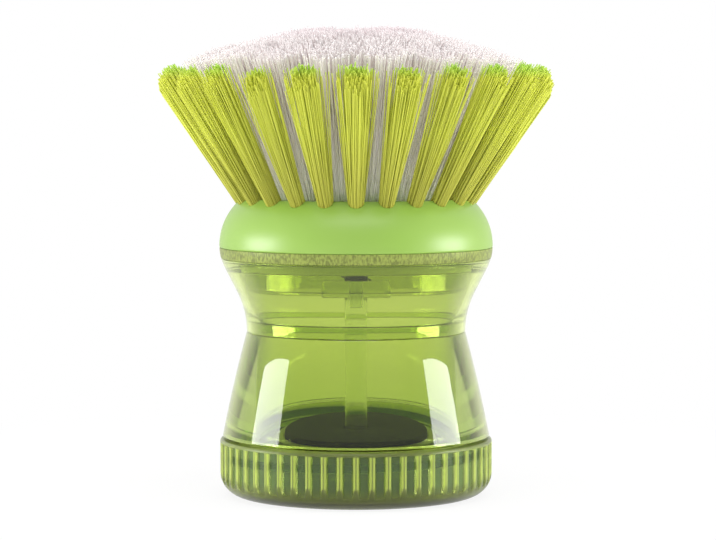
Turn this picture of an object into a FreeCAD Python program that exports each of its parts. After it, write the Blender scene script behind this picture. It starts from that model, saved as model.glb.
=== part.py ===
"""Soap-dispensing palm dish brush, standing on its screw cap with the bristles up.

Millimetres. The origin is the centre of the cap's base and +Z runs up to the bristles.
Pressing the button in the cap lifts the stem, which opens the valve in the brush head.
"""
import FreeCAD, Part
import math
import os
import Sketcher

V = FreeCAD.Vector
doc = FreeCAD.newDocument("dish_brush")
sheet = doc.addObject("Spreadsheet::Sheet", "sizes")

SIZES = (
    # Outer form of the body, from the waist up to the widest line, measured from the cap's side
    ("waist_draw", 5.5),
    ("waist_height", 33.9),
    ("waist_round", 18.0),
    ("flare_angle", 27.0),
    ("bulge_overhang", 0.1),
    ("bulge_rise", 17.8),
    ("bulge_round_below", 10.4),
    ("bulge_round_above", 12.5),
    # Screw cap with a central sleeve for the button
    ("cap_wall", 2.85),
    ("cap_height", 11.8),
    ("cap_floor", 2.2),
    ("cap_corner_round", 4.8),
    ("cap_edge_round", 0.5),
    ("cap_groove_count", 54),
    ("cap_groove_depth", 0.6),
    ("cap_groove_width", 1.7),
    ("cap_plain_rim", 0.7),
    ("sleeve_radius", 15.3),
    ("sleeve_wall", 1.6),
    ("sleeve_height", 10.6),
    ("finger_ledge", 2.4),
    ("gasket_thickness", 1.4),
    ("gasket_inset", 0.1),
    # Screw thread between cap and neck
    ("thread_pitch", 3.0),
    ("thread_depth", 0.8),
    ("thread_root_width", 1.6),
    ("thread_crest_width", 0.8),
    ("thread_embed", 0.3),
    ("thread_lead_in", 1.2),
    ("thread_run_out", 0.2),
    ("thread_clearance", 0.25),
    # Lower half of the reservoir
    ("neck_radius", 24.2),
    ("neck_wall", 2.6),
    ("shoulder_gap", 0.6),
    ("shoulder_inset", 0.5),
    ("cone_round", 300.0),
    ("waist_wall", 1.7),
    ("tongue_wall", 0.7),
    ("tongue_height", 2.5),
    # Upper half of the reservoir and the valve plate that closes it
    ("seam_drop", 2.6),
    ("mouth_depth", 1.8),
    ("plate_rim_thickness", 2.2),
    ("plate_thickness", 3.2),
    ("mouth_wall", 3.15),
    ("skirt_wall", 1.2),
    ("skirt_depth", 5.5),
    ("skirt_clearance", 0.3),
    ("seal_width", 1.6),
    ("seal_thickness", 1.6),
    ("locating_ring_inset", 3.0),
    ("locating_ring_wall", 1.2),
    ("locating_ring_height", 1.0),
    # Brush head with its valve chamber and tuft holes
    ("head_height", 10.2),
    ("chamber_gap", 1.2),
    ("chamber_headroom", 0.8),
    ("outlet_radius", 2.0),
    ("tuft_hole_depth", 5.4),
    # Outer ring of green tufts, trimmed to a round-edged crown
    ("green_count", 24),
    ("green_inset", 4.6),
    ("green_lean", 32.5),
    ("green_hole_share", 0.07),
    ("green_tip_radius", 2.7),
    ("green_crown_height", 27.4),
    ("green_crown_overhang", 12.1),
    ("green_crown_round", 4.0),
    # Three inner rings of white tufts, trimmed to a dome
    ("white_outer_count", 18),
    ("white_middle_count", 12),
    ("white_inner_count", 6),
    ("white_inner_share", 0.258),
    ("white_lean_share", 0.9),
    ("white_hole_share", 0.087),
    ("white_flare", 1.93),
    ("white_dome_height", 34.7),
    ("white_dome_round", 65.0),
    # Tuft roots, strands, and the flat wire anchors that hold the tufts in their holes
    ("tuft_neck", 1.5),
    ("strand_count", 7),
    ("strand_rise", 0.15),
    ("strand_gap_share", 0.19),
    ("white_strand_length", 18.0),
    ("anchor_bite", 0.3),
    ("anchor_height", 1.8),
    ("anchor_thickness", 0.45),
    # Valve: stem, rubber plug and return spring
    ("stem_travel", 2.0),
    ("stem_radius", 2.3),
    ("stem_foot_depth", 0.9),
    ("collar_radius", 7.1),
    ("collar_thickness", 2.8),
    ("valve_bore_radius", 2.0),
    ("plug_shank_radius", 1.2),
    ("plug_shank_depth", 6.0),
    ("plug_head_radius", 3.0),
    ("plug_head_thickness", 1.2),
    ("plug_edge_thickness", 0.4),
    ("spring_radius", 2.9),
    ("spring_wire", 0.4),
    ("spring_turns", 2.5),
    ("spring_pocket_depth", 1.2),
    # Push button, its glossy lid and its ring seal
    ("button_recess", 0.9),
    ("button_pad_thickness", 2.6),
    ("button_wall", 3.4),
    ("button_height", 7.9),
    ("button_edge_round", 0.6),
    ("lid_thickness", 1.6),
    ("lid_spigot_height", 1.5),
    ("lid_spigot_wall", 1.3),
    ("ring_seal_section", 1.8),
    ("ring_seal_rise", 4.0),
    # Clearances, and the overrun of every cut
    ("running_clearance", 0.3),
    ("sealing_clearance", 0.1),
    ("fit_clearance", 0.05),
    ("cut_overrun", 2.0),
)

for row, (alias, number) in enumerate(SIZES, start=1):
    sheet.set(f"A{row}", alias)
    sheet.set(f"B{row}", str(number))
    sheet.setAlias(f"B{row}", alias)
doc.recompute()


class Size:
    """A size that keeps its value and the spreadsheet expression that gives it."""

    def __init__(self, value, text):
        self.value = value
        self.text = text

    def __add__(self, other):
        other = as_size(other)
        return Size(self.value + other.value, f"({self.text} + {other.text})")

    def __sub__(self, other):
        other = as_size(other)
        return Size(self.value - other.value, f"({self.text} - {other.text})")

    def __mul__(self, other):
        other = as_size(other)
        return Size(self.value * other.value, f"({self.text} * {other.text})")

    def __truediv__(self, other):
        other = as_size(other)
        return Size(self.value / other.value, f"({self.text} / {other.text})")

    def __neg__(self):
        return Size(-self.value, f"(-1 * {self.text})")


def as_size(number):
    return number if isinstance(number, Size) else Size(number, str(number))


def root(size):
    return Size(math.sqrt(size.value), f"sqrt({size.text})")


def sine(angle):
    return Size(math.sin(math.radians(angle.value)), f"sin({angle.text})")


def cosine(angle):
    return Size(math.cos(math.radians(angle.value)), f"cos({angle.text})")


class Cells:
    """Reads a cell of the sheet by its alias."""

    def __getattr__(self, alias):
        return Size(float(sheet.get(alias)), f"sizes.{alias}")


s = Cells()
ZERO = as_size(0)


# Heights and radii that several pieces share
def round_radius(height, widest, level, rounding):
    """Radius of a turned round of the given rounding at a height."""
    return widest - rounding + root(rounding * rounding - (height - level) * (height - level))


neck_rim = s.cap_floor + s.gasket_thickness
cap_bore = s.neck_radius + s.thread_depth + s.thread_clearance
cap_radius = cap_bore + s.cap_wall
finger_hole_radius = s.sleeve_radius - s.finger_ledge
neck_bore = s.neck_radius - s.neck_wall
neck_thread_level = neck_rim + s.thread_lead_in
cap_thread_level = neck_thread_level + s.thread_pitch / 2
thread_room = s.cap_height - cap_thread_level - s.thread_root_width / 2 - s.thread_run_out
thread_turns = thread_room / s.thread_pitch
shoulder = s.cap_height + s.shoulder_gap
waist_radius = cap_radius - s.waist_draw
waist_bore = waist_radius - s.waist_wall
tongue_radius = waist_bore + s.tongue_wall
tongue_top = s.waist_height + s.tongue_height
bulge_radius = cap_radius + s.bulge_overhang
bulge_height = s.waist_height + s.bulge_rise
seam = bulge_height - s.seam_drop
seam_radius = round_radius(seam, bulge_radius, bulge_height, s.bulge_round_below)
plate_top = seam + s.plate_rim_thickness
plate_underside = plate_top - s.plate_thickness
plate_radius = round_radius(plate_top, bulge_radius, bulge_height, s.bulge_round_above)
skirt_bottom = seam - s.skirt_depth
mouth_radius = seam_radius - s.mouth_wall
skirt_radius = mouth_radius - s.seal_width - s.sealing_clearance * 2
head_top = plate_top + s.head_height
head_top_radius = round_radius(head_top, bulge_radius, bulge_height, s.bulge_round_above)
locating_ring_radius = bulge_radius - s.locating_ring_inset
green_circle = bulge_radius - s.green_inset
green_crown_radius = bulge_radius + s.green_crown_overhang
row_spacing = (green_circle - green_circle * s.white_inner_share) / 3
white_tip_radius = row_spacing / 2 + s.white_flare
collar_top = plate_underside - s.stem_travel - s.running_clearance
spring_pocket_top = plate_underside + s.spring_pocket_depth
spring_pocket_radius = s.spring_radius + s.spring_wire + s.running_clearance
button_top = s.cap_floor + s.button_height
lid_top = button_top + s.lid_thickness
button_radius = s.sleeve_radius - s.running_clearance
button_bore = button_radius - s.button_wall
ring_seal_level = s.cap_floor + s.ring_seal_rise
ring_seal_radius = s.sleeve_radius - s.sealing_clearance - s.ring_seal_section / 2
stem_foot = lid_top - s.stem_foot_depth
green_hole_radius = green_circle * s.green_hole_share
white_hole_radius = green_circle * s.white_hole_share
chamber_radius = s.plug_head_radius + s.chamber_gap
chamber_top = plate_top + s.plug_head_thickness + s.stem_travel + s.chamber_headroom


def new_body(label):
    body = doc.addObject("PartDesign::Body", label)
    body.Label = label
    return body


def origin(body, role):
    """One of the body's own origin planes or axes."""
    return next(item for item in body.Origin.OriginFeatures if item.Role == role)


def side_curve(start, end, bend):
    """A straight side, or the minor arc that turns left or right between two points."""
    if bend is None:
        return Part.LineSegment(start, end)
    radius, turn = bend
    chord = end - start
    rise = math.sqrt(radius.value ** 2 - (chord.Length / 2) ** 2)
    inward = V(-chord.y, chord.x, 0) if turn == "left" else V(chord.y, -chord.x, 0)
    centre = (start + end) / 2 + inward.normalize() * rise
    first, last = (start, end) if turn == "left" else (end, start)
    first_angle = math.atan2(first.y - centre.y, first.x - centre.x)
    last_angle = math.atan2(last.y - centre.y, last.x - centre.x)
    circle = Part.Circle(centre, V(0, 0, 1), radius.value)
    return Part.ArcOfCircle(circle, first_angle, last_angle)


def head_of(point):
    """The end of a side that lies on its own point: an arc that turns right is drawn backwards."""
    return 2 if point[2:] and point[3] == "right" else 1


def new_sketch(body, name, plane):
    sketch = body.newObject("Sketcher::SketchObject", name)
    sketch.AttachmentSupport = [(origin(body, plane), "")]
    sketch.MapMode = "FlatFace"
    return sketch


def add_loop(sketch, points):
    """A closed loop of sides through points, bound to the sheet."""
    first = sketch.GeometryCount
    places = [V(point[0].value, point[1].value, 0) for point in points]
    following = [(i + 1) % len(points) for i in range(len(points))]
    constraints = []
    expressions = {}
    for point, start, after in zip(points, places, following):
        sketch.addGeometry(side_curve(start, places[after], point[2:] or None), False)
    for i, point in enumerate(points):
        side = first + i
        head = head_of(point)
        after = following[i]
        constraints.append(Sketcher.Constraint("Coincident", side, 3 - head, first + after, head_of(points[after])))
        for kind, size, axis_line in (("DistanceX", point[0], -2), ("DistanceY", point[1], -1)):
            if size is ZERO:
                constraints.append(Sketcher.Constraint("PointOnObject", side, head, axis_line))
            else:
                expressions[len(constraints)] = size.text
                constraints.append(Sketcher.Constraint(kind, -1, 1, side, head, size.value))
        if point[2:]:
            expressions[len(constraints)] = point[2].text
            constraints.append(Sketcher.Constraint("Radius", side, point[2].value))
    done = sketch.ConstraintCount
    sketch.addConstraint(constraints)
    for index, text in expressions.items():
        sketch.setExpression(f"Constraints[{done + index}]", text)


def outline(body, name, points, plane="XZ_Plane", axis=False):
    """A closed sketch through points, each (across, up) or (across, up, arc radius, turn).

    The arc runs from its point to the next one. With axis set, the closing side is also
    drawn as a construction line, which a turned feature can use as its axis.
    """
    sketch = new_sketch(body, name, plane)
    add_loop(sketch, points)
    if axis:
        last = len(points) - 1
        line = sketch.addGeometry(Part.LineSegment(V(0, 0, 0), V(0, 1, 0)), True)
        sketch.addConstraint([
            Sketcher.Constraint("Coincident", line, 1, 0, head_of(points[0])),
            Sketcher.Constraint("Coincident", line, 2, last, head_of(points[last])),
        ])
    return sketch


def turned(body, kind, name, points, own_axis=False):
    """A full Revolution or Groove of an outline, about Z or about its own closing side."""
    sketch = outline(body, f"{name}_outline", points, axis=own_axis)
    feature = body.newObject(f"PartDesign::{kind}", name)
    feature.Profile = sketch
    feature.ReferenceAxis = (sketch, ["Axis0" if own_axis else "V_Axis"])
    feature.Angle = 360
    return feature


def centred(body, kind, name, points, length):
    """A Pad or Pocket that reaches half its length each side of the XZ plane."""
    sketch = outline(body, f"{name}_outline", points)
    feature = body.newObject(f"PartDesign::{kind}", name)
    feature.Profile = sketch
    feature.SideType = "Symmetric"
    feature.setExpression("Length", length.text)
    return feature


def ring_of(body, name, features, count):
    """Repeats features around Z."""
    pattern = body.newObject("PartDesign::PolarPattern", name)
    pattern.Originals = features
    pattern.Axis = (origin(body, "Z_Axis"), [""])
    pattern.Angle = 360
    pattern.setExpression("Occurrences", count.text)
    body.Tip = pattern
    return pattern


def thread(body, name, root_radius, crest_radius, inward, level):
    """A screw thread of trapezoid section, rooted a little way into its wall."""
    embed = s.thread_embed if inward else -s.thread_embed
    half_root = s.thread_root_width / 2
    half_crest = s.thread_crest_width / 2
    sketch = outline(body, f"{name}_section", [
        (root_radius + embed, level - half_root),
        (root_radius, level - half_root),
        (crest_radius, level - half_crest),
        (crest_radius, level + half_crest),
        (root_radius, level + half_root),
        (root_radius + embed, level + half_root),
    ])
    helix = body.newObject("PartDesign::AdditiveHelix", name)
    helix.Profile = sketch
    helix.ReferenceAxis = (sketch, ["V_Axis"])
    helix.Mode = "pitch-turns-angle"
    helix.setExpression("Pitch", s.thread_pitch.text)
    helix.setExpression("Turns", thread_turns.text)
    return helix


def flat_ring(label, inner, outer, bottom, thickness):
    body = new_body(label)
    turned(body, "Revolution", f"{label}_ring", [
        (inner, bottom), (outer, bottom), (outer, bottom + thickness), (inner, bottom + thickness)])
    return body


def screw_cap():
    body = new_body("screw_cap")
    sleeve_outside = s.sleeve_radius + s.sleeve_wall
    turned(body, "Revolution", "cap_shell", [
        (finger_hole_radius, ZERO),
        (cap_radius - s.cap_corner_round, ZERO, s.cap_corner_round, "left"),
        (cap_radius, s.cap_corner_round),
        (cap_radius, s.cap_height - s.cap_edge_round, s.cap_edge_round, "left"),
        (cap_radius - s.cap_edge_round, s.cap_height),
        (cap_bore, s.cap_height),
        (cap_bore, s.cap_floor),
        (sleeve_outside, s.cap_floor),
        (sleeve_outside, s.sleeve_height),
        (s.sleeve_radius, s.sleeve_height),
        (s.sleeve_radius, s.cap_floor),
        (finger_hole_radius, s.cap_floor),
    ])
    groove_floor = cap_radius - s.cap_groove_depth
    half_width = s.cap_groove_width / 2
    section = outline(body, "cap_groove_section", [
        (groove_floor, -half_width),
        (cap_radius + s.cut_overrun, -half_width),
        (cap_radius + s.cut_overrun, half_width),
        (groove_floor, half_width),
    ], plane="XY_Plane")
    groove = body.newObject("PartDesign::Pocket", "cap_groove")
    groove.Profile = section
    groove.Reversed = True
    groove.setExpression("Length", (s.cap_height - s.cap_plain_rim).text)
    ring_of(body, "cap_grooves", [groove], s.cap_groove_count)
    thread(body, "cap_thread", cap_bore, s.neck_radius + s.thread_clearance, True, cap_thread_level)
    return body


def lower_body():
    body = new_body("lower_body")
    turned(body, "Revolution", "lower_shell", [
        (neck_bore, neck_rim),
        (s.neck_radius, neck_rim),
        (s.neck_radius, shoulder),
        (cap_radius - s.shoulder_inset, shoulder, s.cone_round, "left"),
        (waist_radius, s.waist_height),
        (tongue_radius, s.waist_height),
        (tongue_radius, tongue_top),
        (waist_bore, tongue_top),
    ])
    crest = s.neck_radius + s.thread_depth
    thread(body, "neck_thread", s.neck_radius, crest, False, neck_thread_level)
    return body


def upper_body():
    body = new_body("upper_body")
    rebate = tongue_radius + s.fit_clearance
    rebate_top = tongue_top + s.fit_clearance
    turn_in = cosine(s.flare_angle)
    turn_up = sine(s.flare_angle)
    one = as_size(1)
    turned(body, "Revolution", "upper_shell", [
        (rebate, s.waist_height),
        (waist_radius, s.waist_height, s.waist_round, "right"),
        (waist_radius + s.waist_round * (one - turn_in), s.waist_height + s.waist_round * turn_up),
        (bulge_radius - s.bulge_round_below * (one - turn_in),
         bulge_height - s.bulge_round_below * turn_up, s.bulge_round_below, "left"),
        (seam_radius, seam),
        (mouth_radius, seam),
        (mouth_radius, seam - s.mouth_depth),
        (skirt_radius + s.skirt_clearance, skirt_bottom),
        (waist_bore, rebate_top),
        (rebate, rebate_top),
    ])
    return body


def valve_plate():
    body = new_body("valve_plate")
    skirt_inside = skirt_radius - s.skirt_wall
    ring_top = plate_top + s.locating_ring_height
    ring_inside = locating_ring_radius - s.locating_ring_wall
    turned(body, "Revolution", "plate_disc", [
        (s.valve_bore_radius, spring_pocket_top),
        (spring_pocket_radius, spring_pocket_top),
        (spring_pocket_radius, plate_underside),
        (skirt_inside, plate_underside),
        (skirt_inside, skirt_bottom),
        (skirt_radius, skirt_bottom),
        (skirt_radius, seam),
        (seam_radius, seam, s.bulge_round_below, "left"),
        (plate_radius, plate_top),
        (locating_ring_radius, plate_top),
        (locating_ring_radius, ring_top),
        (ring_inside, ring_top),
        (ring_inside, plate_top),
        (s.valve_bore_radius, plate_top),
    ])
    return body


def leaning(circle, lean, along, aside):
    """A point along and aside from a tuft axis that leans out from Z, from its place on the head's top."""
    across = circle + along * sine(lean) + aside * cosine(lean)
    up = head_top + along * cosine(lean) - aside * sine(lean)
    return across, up


def white_row(count, rows_in):
    """A ring of white tufts, some rows in from the green ring, leaning less the nearer it is to Z."""
    circle = green_circle - row_spacing * rows_in
    lean = s.green_lean * s.white_lean_share * circle / green_circle
    return count, circle, lean, white_tip_radius, white_hole_radius


TUFT_RINGS = {
    "green": (s.green_count, green_circle, s.green_lean, s.green_tip_radius, green_hole_radius),
    "white_outer": white_row(s.white_outer_count, 1),
    "white_middle": white_row(s.white_middle_count, 2),
    "white_inner": white_row(s.white_inner_count, 3),
}


def anchor_length(hole_radius):
    return (hole_radius + s.anchor_bite) * 2


def anchor_section(ring, clearance, open_below):
    """The end view of a flat anchor at the bottom of a tuft hole, grown by a clearance."""
    count, circle, lean, tip_radius, hole_radius = TUFT_RINGS[ring]
    half = s.anchor_thickness / 2 + clearance
    low = s.fit_clearance - s.tuft_hole_depth
    bottom = low - (s.cut_overrun if open_below else clearance)
    top = low + s.anchor_height + clearance
    corners = ((bottom, -half), (bottom, half), (top, half), (top, -half))
    return [leaning(circle, lean, along, aside) for along, aside in corners]


def brush_head():
    body = new_body("brush_head")
    groove_top = plate_top + s.locating_ring_height + s.fit_clearance
    groove_outside = locating_ring_radius + s.fit_clearance
    groove_inside = locating_ring_radius - s.locating_ring_wall - s.fit_clearance
    turned(body, "Revolution", "head_block", [
        (chamber_radius, plate_top),
        (groove_inside, plate_top),
        (groove_inside, groove_top),
        (groove_outside, groove_top),
        (groove_outside, plate_top),
        (plate_radius, plate_top, s.bulge_round_above, "left"),
        (head_top_radius, head_top),
        (s.outlet_radius, head_top),
        (s.outlet_radius, chamber_top),
        (chamber_radius, chamber_top),
    ])
    for ring, (count, circle, lean, tip_radius, hole_radius) in TUFT_RINGS.items():
        spots = ((-s.tuft_hole_depth, ZERO), (-s.tuft_hole_depth, hole_radius),
                 (s.cut_overrun, hole_radius), (s.cut_overrun, ZERO))
        corners = [leaning(circle, lean, along, aside) for along, aside in spots]
        hole = turned(body, "Groove", f"{ring}_hole", corners, own_axis=True)
        section = anchor_section(ring, s.fit_clearance, False)
        slit_length = anchor_length(hole_radius) + s.fit_clearance * 2
        slit = centred(body, "Pocket", f"{ring}_slit", section, slit_length)
        ring_of(body, f"{ring}_holes", [hole, slit], count)
    return body


def tuft(body, ring, length):
    """One bundle: a root that fills its hole, a short neck and a flare, slotted for its anchor."""
    count, circle, lean, tip_radius, hole_radius = TUFT_RINGS[ring]
    root_radius = hole_radius - s.fit_clearance
    bottom = s.fit_clearance - s.tuft_hole_depth
    spots = ((bottom, ZERO), (bottom, root_radius), (s.tuft_neck, root_radius),
             (length, tip_radius), (length, ZERO))
    corners = [leaning(circle, lean, along, aside) for along, aside in spots]
    bundle = turned(body, "Revolution", f"{body.Label}_bundle", corners, own_axis=True)
    section = anchor_section(ring, s.fit_clearance, True)
    slot_length = anchor_length(hole_radius) + s.fit_clearance * 2
    slot = centred(body, "Pocket", f"{body.Label}_slot", section, slot_length)
    return [bundle, slot]


def strand_gaps(body, ring, length, reach):
    """The gaps that part a tuft into strands, cut along its axis from the tip down as far as they reach."""
    count, circle, lean, tip_radius, hole_radius = TUFT_RINGS[ring]
    sketch = new_sketch(body, f"{body.Label}_strand_section", "XY_Plane")
    across, up = leaning(circle, lean, length, ZERO)
    tip = V(across.value, 0, up.value)
    sketch.AttachmentOffset = FreeCAD.Placement(tip, FreeCAD.Rotation(V(0, 1, 0), lean.value))
    sketch.setExpression("AttachmentOffset.Base.x", across.text)
    sketch.setExpression("AttachmentOffset.Base.z", up.text)
    sketch.setExpression("AttachmentOffset.Rotation.Angle", lean.text)
    floor = hole_radius + s.strand_rise
    outside = tip_radius + s.strand_rise
    half = tip_radius * s.strand_gap_share / 2
    for strand in range(round(s.strand_count.value)):
        turn = as_size(360) * strand / s.strand_count
        corners = ((floor, -half), (outside, -half), (outside, half), (floor, half))
        add_loop(sketch, [(out * cosine(turn) - aside * sine(turn), out * sine(turn) + aside * cosine(turn))
                          for out, aside in corners])
    gaps = body.newObject("PartDesign::Pocket", f"{body.Label}_strands")
    gaps.Profile = sketch
    gaps.setExpression("Length", reach.text)
    return gaps


def green_tuft(index):
    """One green tuft, trimmed flat on top with a round outer edge."""
    body = new_body(f"green_tuft_{index + 1:02d}")
    crown = head_top + s.green_crown_height
    length = (s.green_crown_height + s.green_crown_round) / cosine(s.green_lean)
    tuft(body, "green", length)
    strand_gaps(body, "green", length, length - s.tuft_neck)
    outside = green_crown_radius + length
    edge = green_crown_radius - s.green_crown_round
    turned(body, "Groove", f"{body.Label}_trim", [
        (ZERO, crown),
        (edge, crown, s.green_crown_round, "right"),
        (green_crown_radius, crown - s.green_crown_round),
        (green_crown_radius, head_top),
        (outside, head_top),
        (outside, crown + length),
        (ZERO, crown + length),
    ])
    front_angle = -90
    angle = front_angle + 360 / s.green_count.value * index
    body.Placement = FreeCAD.Placement(V(0, 0, 0), FreeCAD.Rotation(V(0, 0, 1), angle))
    return body


def dome_level(radius):
    """Height of the trimmed dome at a distance from Z."""
    dome = s.white_dome_round
    return head_top + s.white_dome_height - dome + root(dome * dome - radius * radius)


def white_tufts(ring):
    """A ring of white tufts, trimmed together to the dome."""
    body = new_body(ring.replace("white", "white_tufts"))
    crown = head_top + s.white_dome_height
    count, circle, lean, tip_radius, hole_radius = TUFT_RINGS[ring]
    length = (s.white_dome_height + tip_radius) / cosine(lean)
    features = tuft(body, ring, length) + [strand_gaps(body, ring, length, s.white_strand_length)]
    ring_of(body, f"{body.Label}_ring", features, count)
    outside = circle + length * sine(lean) + tip_radius
    turned(body, "Groove", f"{body.Label}_trim", [
        (ZERO, crown, s.white_dome_round, "right"),
        (outside, dome_level(outside)),
        (outside, crown + length),
        (ZERO, crown + length),
    ])
    return body


def anchors(label, rings):
    """Flat wire anchors, one across the bottom of each tuft hole of the given rings."""
    body = new_body(label)
    for ring in rings:
        count, circle, lean, tip_radius, hole_radius = TUFT_RINGS[ring]
        section = anchor_section(ring, ZERO, False)
        blade = centred(body, "Pad", f"{ring}_anchor", section, anchor_length(hole_radius))
        ring_of(body, f"{ring}_anchors", [blade], count)
    return body


def push_stem():
    body = new_body("push_stem")
    collar_bottom = collar_top - s.collar_thickness
    socket_radius = s.plug_shank_radius + s.fit_clearance
    socket_floor = collar_top - s.plug_shank_depth - s.fit_clearance
    turned(body, "Revolution", "stem_rod", [
        (ZERO, stem_foot),
        (s.stem_radius, stem_foot),
        (s.stem_radius, collar_bottom),
        (s.collar_radius, collar_bottom),
        (s.collar_radius, collar_top),
        (socket_radius, collar_top),
        (socket_radius, socket_floor),
        (ZERO, socket_floor),
    ])
    return body


def valve_plug():
    body = new_body("valve_plug")
    boss_radius = s.spring_radius - s.spring_wire / 2 - s.running_clearance
    boss_top = collar_top + s.spring_pocket_depth
    dome_rise = s.plug_head_thickness - s.plug_edge_thickness
    dome_round = (s.plug_head_radius * s.plug_head_radius + dome_rise * dome_rise) / (dome_rise * 2)
    turned(body, "Revolution", "plug_mushroom", [
        (ZERO, collar_top - s.plug_shank_depth),
        (s.plug_shank_radius, collar_top - s.plug_shank_depth),
        (s.plug_shank_radius, collar_top),
        (boss_radius, collar_top),
        (boss_radius, boss_top),
        (s.plug_shank_radius, boss_top),
        (s.plug_shank_radius, plate_top),
        (s.plug_head_radius, plate_top),
        (s.plug_head_radius, plate_top + s.plug_edge_thickness, dome_round, "left"),
        (ZERO, plate_top + s.plug_head_thickness),
    ])
    return body


def biarc(start, start_way, end, end_way):
    """Two tangent arcs from one point and direction to another."""
    chord = end - start
    ways = start_way + end_way
    spread = 2 * (1 - start_way.dot(end_way))
    lean = chord.dot(ways)
    reach = (math.sqrt(lean ** 2 + spread * chord.dot(chord)) - lean) / spread
    first_corner = start + start_way * reach
    last_corner = end - end_way * reach
    middle = (first_corner + last_corner) / 2
    arcs = []
    for near, corner, far in ((start, first_corner, middle), (middle, last_corner, end)):
        base = (near + far) / 2
        half = (far - near).Length / 2
        bow = corner - base
        sag = half * math.tan(math.atan2(bow.Length, half) / 2)
        arcs.append(Part.Arc(near, base + bow.normalize() * sag, far).toShape())
    return arcs


def return_spring():
    """Round wire coiled in quarter turns, with a straight tip one wire long at each end."""
    wire = s.spring_wire.value
    radius = s.spring_radius.value
    turns = s.spring_turns.value
    bottom = collar_top.value + s.fit_clearance.value + wire / 2
    rise = spring_pocket_top.value - s.fit_clearance.value - wire / 2 - bottom
    quarters = round(turns * 4)
    slope = rise / (turns * 2 * math.pi)

    def place(turn_angle):
        return V(radius * math.cos(turn_angle), radius * math.sin(turn_angle), bottom + slope * turn_angle)

    def heading(turn_angle):
        return V(-radius * math.sin(turn_angle), radius * math.cos(turn_angle), slope).normalize()

    angles = [turns * 2 * math.pi * step / quarters for step in range(quarters + 1)]
    first_tip = heading(angles[0])
    last_tip = heading(angles[-1])
    edges = [Part.LineSegment(place(angles[0]) - first_tip * wire, place(angles[0])).toShape()]
    for begin, finish in zip(angles, angles[1:]):
        edges += biarc(place(begin), heading(begin), place(finish), heading(finish))
    edges.append(Part.LineSegment(place(angles[-1]), place(angles[-1]) + last_tip * wire).toShape())
    path = Part.Wire(edges)
    start = place(angles[0]) - first_tip * wire
    section = Part.Wire(Part.Circle(start, first_tip, wire / 2).toShape())
    spring = doc.addObject("Part::Feature", "return_spring")
    spring.Label = "return_spring"
    spring.Shape = path.makePipeShell([section], True, False)
    points_per_edge = 4
    points = [point for edge in edges for point in edge.discretize(points_per_edge + 1)[:-1]]
    half_turn = len(points) // round(turns * 2)
    gap = min((points[i] - points[j]).Length for i in range(len(points))
              for j in range(i + half_turn, len(points))) - wire
    print(f"return_spring: least gap to itself {gap:.2f} mm")
    return spring


def push_button():
    body = new_body("push_button")
    pad_radius = finger_hole_radius - s.running_clearance
    cup_floor = s.button_recess + s.button_pad_thickness
    half_groove = s.ring_seal_section / 2 + s.sealing_clearance
    groove_floor = ring_seal_radius - half_groove
    turned(body, "Revolution", "button_cup", [
        (ZERO, s.button_recess),
        (pad_radius - s.button_edge_round, s.button_recess, s.button_edge_round, "left"),
        (pad_radius, s.button_recess + s.button_edge_round),
        (pad_radius, s.cap_floor),
        (button_radius, s.cap_floor),
        (button_radius, ring_seal_level - half_groove),
        (groove_floor, ring_seal_level - half_groove),
        (groove_floor, ring_seal_level + half_groove),
        (button_radius, ring_seal_level + half_groove),
        (button_radius, button_top),
        (button_bore, button_top),
        (button_bore, cup_floor),
        (ZERO, cup_floor),
    ])
    return body


def button_lid():
    body = new_body("button_lid")
    recess_radius = s.stem_radius + s.running_clearance
    recess_floor = stem_foot - s.sealing_clearance
    spigot_outside = button_bore - s.sealing_clearance
    spigot_inside = spigot_outside - s.lid_spigot_wall
    spigot_bottom = button_top - s.lid_spigot_height
    turned(body, "Revolution", "lid_disc", [
        (ZERO, button_top),
        (spigot_inside, button_top),
        (spigot_inside, spigot_bottom),
        (spigot_outside, spigot_bottom),
        (spigot_outside, button_top),
        (button_radius, button_top),
        (button_radius, lid_top),
        (recess_radius, lid_top),
        (recess_radius, recess_floor),
        (ZERO, recess_floor),
    ])
    return body


def button_seal():
    seal = doc.addObject("Part::Torus", "button_seal")
    seal.Label = "button_seal"
    seal.setExpression("Radius1", ring_seal_radius.text)
    seal.setExpression("Radius2", (s.ring_seal_section / 2).text)
    seal.setExpression("Placement.Base.z", ring_seal_level.text)
    return seal


cap_gasket_inner = neck_bore + s.gasket_inset
cap_gasket_outer = s.neck_radius - s.gasket_inset
plate_seal_inner = skirt_radius + s.sealing_clearance
plate_seal_bottom = seam - s.seal_thickness

sub_parts = [
    screw_cap(),
    flat_ring("cap_gasket", cap_gasket_inner, cap_gasket_outer, s.cap_floor, s.gasket_thickness),
    lower_body(),
    upper_body(),
    valve_plate(),
    flat_ring("plate_seal", plate_seal_inner, plate_seal_inner + s.seal_width, plate_seal_bottom,
              s.seal_thickness),
    brush_head(),
]
sub_parts += [green_tuft(index) for index in range(round(s.green_count.value))]
sub_parts += [white_tufts(ring) for ring in ("white_outer", "white_middle", "white_inner")]
sub_parts += [
    anchors("green_anchors", ["green"]),
    anchors("white_anchors", ["white_outer", "white_middle", "white_inner"]),
    push_stem(),
    valve_plug(),
    return_spring(),
    push_button(),
    button_lid(),
    button_seal(),
]
doc.recompute()

for item in doc.Objects:
    if "Invalid" in item.State or "Error" in item.State:
        raise RuntimeError(f"{item.Label} failed: {item.State}")
for part in sub_parts:
    if part.Shape.isNull() or not part.Shape.isValid():
        raise RuntimeError(f"{part.Label} has no valid shape")

os.makedirs("parts", exist_ok=True)
for part in sub_parts:
    part.Shape.exportStep(f"parts/{part.Label}.step")
print(f"{len(sub_parts)} sub-parts written")
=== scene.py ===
import math
import random

import bmesh
import bpy
from mathutils import Matrix, Vector


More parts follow.
